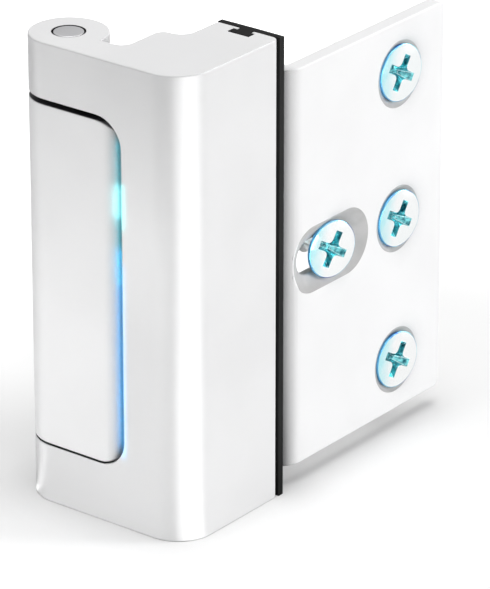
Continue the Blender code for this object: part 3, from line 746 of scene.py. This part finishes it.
# %% Bare metal in the countersinks, and the deeper colour in the recesses
SINK_REACH = 5.9 * MM       # from a screw's axis, or from the middle line of the slot
SLOT_HALF = 4.35 * MM       # half of the length of that line
PLATE_DEPTH = 2.6 * MM
DISC_DEPTH = 0.02 * MM      # below a head's top, where its flat disc ends
BLUE_DEPTH = 2.1 * MM       # below a head's top, where its recess and rim have ended
BLUE_REACH = RECESS_REACH + 0.05 * MM       # from the axis, where the recess has ended
plate_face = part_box("mounting_bracket")[1].x
plate_back = plate_face - PLATE_DEPTH
sinks = []
for name in screws:
    low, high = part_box(name)
    half = SLOT_HALF if name == "screw_slot" else 0.0
    sinks.append(((low.y + high.y) / 2, (low.z + high.z) / 2, half))


def in_a_sink(place):
    """True for a place within reach of a hole's axis, or of the slot's middle line."""
    return any(math.hypot(max(0.0, abs(place.y - y) - half), place.z - z) < SINK_REACH
               for y, z, half in sinks)


for face in bracket.data.polygons:
    if plate_back - WELD < face.center.x < plate_face - WELD and abs(face.normal.x) < SQUARE:
        if all(in_a_sink(bracket.data.vertices[index].co) for index in face.vertices):
            face.material_index = BRACKET_METAL
for piece in screws.values():
    places = piece.data.attributes["from_axis"].data
    for face in piece.data.polygons:
        corners = [places[index].vector for index in face.vertices]
        place = sum(corners, Vector()) / len(corners)
        deep = -place.x * head_radius
        near = math.hypot(place.y, place.z) * head_radius
        if DISC_DEPTH < deep < BLUE_DEPTH:
            face.material_index = SCREW_RECESS if near < BLUE_REACH else SCREW_RIM
count = sum(face.material_index == BRACKET_METAL for face in bracket.data.polygons)
print("bare faces:", count)

# %% Painted shade: near-black faces above and below the fixed knuckle, and on the walls of the bores
WINDOW_TOP = body_high.z - 9.1 * MM         # the middle of the upper gap, and of the lower
WINDOW_FLOOR = body_low.z + 9.7 * MM
GAP_HALF = 0.9 * MM         # flat faces nearer than this to either are in the gap
GAP_REACH = 13.5 * MM       # from the hinge's axis, to the right
BORE_REACH = 2.8 * MM       # from the hinge's axis: the walls of the bores are nearer
WALL = 0.5                  # a wall's normal points up or down by less than this
for piece, index in ((body, BODY_GAP), (bracket, BRACKET_GAP)):
    for face in piece.data.polygons:
        place = face.center
        level = min(abs(place.z - WINDOW_TOP), abs(place.z - WINDOW_FLOOR))
        in_gap = level < GAP_HALF and place.x < hinge_axis.x + GAP_REACH
        if in_gap and abs(face.normal.z) > SQUARE:
            face.material_index = index
        if from_hinge(place) < BORE_REACH and abs(face.normal.z) < WALL:
            face.material_index = index
    count = sum(face.material_index == index for face in piece.data.polygons)
    print(piece.name, "shade_painted faces:", count)

# %% [markdown]
# ## Who moves with whom
# The bracket and its screws stay on the door frame. The pin slides down against its spring
# when the lock is pressed, and the lock body swings on the pin.

# %% Attach the pieces
stands_for = [
    (bracket, "bracket", "mounting_bracket", "white_aluminium"),
    (body, "lock", "lock_body", "white_aluminium"),
    (pad, "lock", "bumper_pad", "black_rubber"),
    (pin, "pin", "hinge_pin", "pin_steel"),
]
stands_for += [(screws[name], "bracket", name, "blue_zinc") for name in screws]
for piece, rides_on, node, slot in stands_for:
    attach(piece, rides_on)
    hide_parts(node)

# %% [markdown]
# ## Floor and light
# The lock stands on a white floor that runs out of sight. A tall soft lamp behind on the right
# lights the side and the plate, and a square one above lights the top. A small strip low in
# front keeps the front a little greyer than the side, and lets the rounded edges fall darker.
# The floor glows for the camera alone, so the background is white. The glow is weaker near
# the lock, and fades further where the lock stands close over the floor, which paints a shade
# at the foot on top of the real shadow.

# %% Floor
FLOOR_SIZE = 12.0
FLOOR_WHITE = 0.74
CONTACT_REACH = 9 * MM      # what stands nearer than this to the floor weakens its glow
GLOW_START, GLOW_END = 50 * MM, 135 * MM    # from the floor's middle: the glow grows here
GLOW_LOW, GLOW_FULL = 0.26, 1.0             # from this strength to this
bpy.ops.object.select_all(action="DESELECT")
bpy.ops.mesh.primitive_plane_add(size=FLOOR_SIZE, location=(0, 0, body_low.z))
floor = bpy.context.object
floor.name = "floor"
floor_material = bpy.data.materials.new("white_floor")
floor_material.use_nodes = True
tree = floor_material.node_tree
shader = tree.nodes["Principled BSDF"]
shader.inputs["Base Color"].default_value = (FLOOR_WHITE, FLOOR_WHITE, FLOOR_WHITE, 1)
shader.inputs["Roughness"].default_value = 0.9
shader.inputs["Specular IOR Level"].default_value = 0.0
path = add_node(tree, "ShaderNodeLightPath")
place = add_node(tree, "ShaderNodeTexCoord")
away = add_node(tree, "ShaderNodeVectorMath", operation="LENGTH")
lift = add_node(tree, "ShaderNodeMapRange", interpolation_type="SMOOTHSTEP",
                From_Min=GLOW_START, From_Max=GLOW_END, To_Min=GLOW_LOW, To_Max=GLOW_FULL)
# painted shade: the glow fades where the lock stands close over the floor
near_lock = add_node(tree, "ShaderNodeAmbientOcclusion", samples=8, Distance=CONTACT_REACH)
contact = add_node(tree, "ShaderNodeMath", operation="MULTIPLY")
glow = add_node(tree, "ShaderNodeMath", operation="MULTIPLY")
tree.links.new(place.outputs["Object"], away.inputs[0])
tree.links.new(away.outputs["Value"], lift.inputs["Value"])
tree.links.new(lift.outputs["Result"], contact.inputs[0])
tree.links.new(near_lock.outputs["AO"], contact.inputs[1])
tree.links.new(path.outputs["Is Camera Ray"], glow.inputs[0])
tree.links.new(contact.outputs[0], glow.inputs[1])
shader.inputs["Emission Color"].default_value = (1, 1, 1, 1)
tree.links.new(glow.outputs[0], shader.inputs["Emission Strength"])
floor.data.materials.append(floor_material)

# %% World: white for the camera and in reflections, and nearly dark as a light
FILL_STRENGTH = 0.08
SEEN_STRENGTH = 1.0
world = bpy.data.worlds.new("studio")
bpy.context.scene.world = world
world.use_nodes = True
tree = world.node_tree
fill = tree.nodes["Background"]
fill.inputs["Color"].default_value = (1, 1, 1, 1)
fill.inputs["Strength"].default_value = FILL_STRENGTH
seen = add_node(tree, "ShaderNodeBackground", Strength=SEEN_STRENGTH)
seen.inputs["Color"].default_value = (1, 1, 1, 1)
either = add_node(tree, "ShaderNodeMath", operation="MAXIMUM")
choose = add_node(tree, "ShaderNodeMixShader")
path = add_node(tree, "ShaderNodeLightPath")
tree.links.new(path.outputs["Is Camera Ray"], either.inputs[0])
tree.links.new(path.outputs["Is Glossy Ray"], either.inputs[1])
tree.links.new(either.outputs[0], choose.inputs[0])
tree.links.new(fill.outputs[0], choose.inputs[1])
tree.links.new(seen.outputs[0], choose.inputs[2])
tree.links.new(choose.outputs[0], tree.nodes["World Output"].inputs["Surface"])

# %% Lamps
def area_lamp(name, size, watts):
    """A rectangular lamp, which still has to be put in its place."""
    lamp = bpy.data.lights.new(name, "AREA")
    lamp.shape = "RECTANGLE"
    lamp.size, lamp.size_y = size
    lamp.energy = watts
    holder = bpy.data.objects.new(name, lamp)
    bpy.context.scene.collection.objects.link(holder)
    return holder


def softbox(name, azimuth, height, distance, size, watts):
    """A soft lamp that faces the lock from a direction given in degrees."""
    holder = area_lamp(name, size, watts)
    out = direction(azimuth, height)
    holder.location = aim + out * distance
    holder.rotation_euler = out.to_track_quat("Z", "Y").to_euler()


softbox("right_strip", azimuth=130, height=12, distance=1.2, size=(0.4, 1.0), watts=14.6)
softbox("top_softbox", azimuth=20, height=84, distance=1.3, size=(1.0, 1.0), watts=12.9)
softbox("front_low", azimuth=-9, height=-13, distance=0.12, size=(0.12, 0.02), watts=0.068)

# %% [markdown]
# Thin blue lights stand along the seam between the knuckle and the body, with a cyan one near
# its upper end. They are lamps and no part of the lock. Two in front of the face make the
# halo, and three inside the groove are turned to the knuckle's rounded edge. Their beams are
# narrowed, so the bracket's leg stays white when the lock body is swung away from them.

# %% Blue light along the seam
SEAM_X = hinge_axis.x + 14.75 * MM
TO_THE_BACK = math.radians(90)
INTO_GROOVE = math.radians(60)  # how far a lamp is turned from the back to the knuckle
BEAM = math.radians(110)
seam_lights = [
    # name, lower and upper end, depth behind the front, width (all in mm), turn, colour, watts
    ("halo_blue", 12, 44, -0.9, 0.4, 0.0, (0.0, 0.45, 1.0), 1.4e-4),
    ("halo_cyan", 50, 57, -1.0, 0.6, 0.0, (0.0, 0.90, 0.9), 0.5e-4),
    ("core_blue", 10, 46, 0.9, 0.2, INTO_GROOVE, (0.0, 0.43, 1.0), 6.2e-4),
    ("core_teal", 40, 64, 0.9, 0.2, INTO_GROOVE, (0.0, 0.65, 0.80), 2.8e-4),
    ("core_white", 51, 56, 0.6, 0.2, INTO_GROOVE, (0.4, 1.0, 1.0), 0.7e-4),
]
for name, low, high, depth, width, turn, colour, watts in seam_lights:
    holder = area_lamp(name, (width * MM, (high - low) * MM), watts)
    holder.data.color, holder.data.spread = colour, BEAM
    middle_z = body_low.z + (low + high) / 2 * MM
    holder.location = (SEAM_X, body_low.y + depth * MM, middle_z)
    holder.rotation_euler = (TO_THE_BACK, 0, turn)
    holder.visible_camera = holder.visible_glossy = False

# %% [markdown]
# A glossy wall that is seen from above reflects the table in front of it. So the bright lines
# on the rounded corners come from cards on the table, which only reflections can see. Each is
# a square with one corner at the lock, and it is brightest along its diagonal.

# %% Cards on the table
CARD_LIFT = 0.2 * MM        # above the floor
CARD_DIAGONAL = 135         # azimuth of a card's diagonal before the card is turned


def floor_card(name, corner, azimuth, reach, strength, focus):
    """A glowing square on the floor, seen only in reflections.

    Its diagonal runs from the corner along the azimuth, in degrees, and is the brightest
    line. A higher focus makes that line narrower.
    """
    bpy.ops.object.select_all(action="DESELECT")
    bpy.ops.mesh.primitive_plane_add(size=reach)
    card = bpy.context.object
    card.name = name
    edit(card, "VERT")
    bpy.ops.mesh.select_all(action="SELECT")
    bpy.ops.transform.translate(value=(reach / 2, reach / 2, 0))
    close_edit()
    card.location = (*corner, body_low.z + CARD_LIFT)
    card.rotation_euler = (0, 0, math.radians(azimuth - CARD_DIAGONAL))
    card.visible_camera = card.visible_diffuse = card.visible_shadow = False
    material = bpy.data.materials.new(name)
    material.use_nodes = True
    tree = material.node_tree
    tree.nodes.remove(tree.nodes["Principled BSDF"])
    place = add_node(tree, "ShaderNodeTexCoord")
    along = add_node(tree, "ShaderNodeVectorMath", operation="NORMALIZE")
    split = add_node(tree, "ShaderNodeSeparateXYZ")
    twice = add_node(tree, "ShaderNodeMath", operation="MULTIPLY")
    peak = add_node(tree, "ShaderNodeMath", operation="POWER")
    level = add_node(tree, "ShaderNodeMath", operation="MULTIPLY")
    light = add_node(tree, "ShaderNodeEmission")
    tree.links.new(place.outputs["Object"], along.inputs[0])
    tree.links.new(along.outputs["Vector"], split.inputs[0])
    tree.links.new(split.outputs["X"], twice.inputs[0])
    tree.links.new(split.outputs["Y"], twice.inputs[1])
    tree.links.new(twice.outputs[0], peak.inputs[0])
    tree.links.new(peak.outputs[0], level.inputs[0])
    peak.inputs[1].default_value = focus
    level.inputs[1].default_value = strength * 2 ** focus
    tree.links.new(level.outputs[0], light.inputs["Strength"])
    tree.links.new(light.outputs[0], tree.nodes["Material Output"].inputs["Surface"])
    card.data.materials.append(material)


CARD_INSET = 4 * MM         # a card's corner is this far in from the corner of the lock body
front_right = (body_high.x - CARD_INSET, body_low.y + CARD_INSET)
front_left = (body_low.x + CARD_INSET, body_low.y + CARD_INSET)
back_right = (body_high.x + MM, body_high.y)
floor_card("corner_card", front_right, azimuth=69, reach=0.4, strength=12.0, focus=0.6)
floor_card("plate_card", back_right, azimuth=135, reach=0.8, strength=0.9, focus=0.0)
floor_card("left_card", front_left, azimuth=-50, reach=0.4, strength=3.0, focus=4.0)

# %% Colours as written
bpy.context.scene.view_settings.view_transform = "Standard"
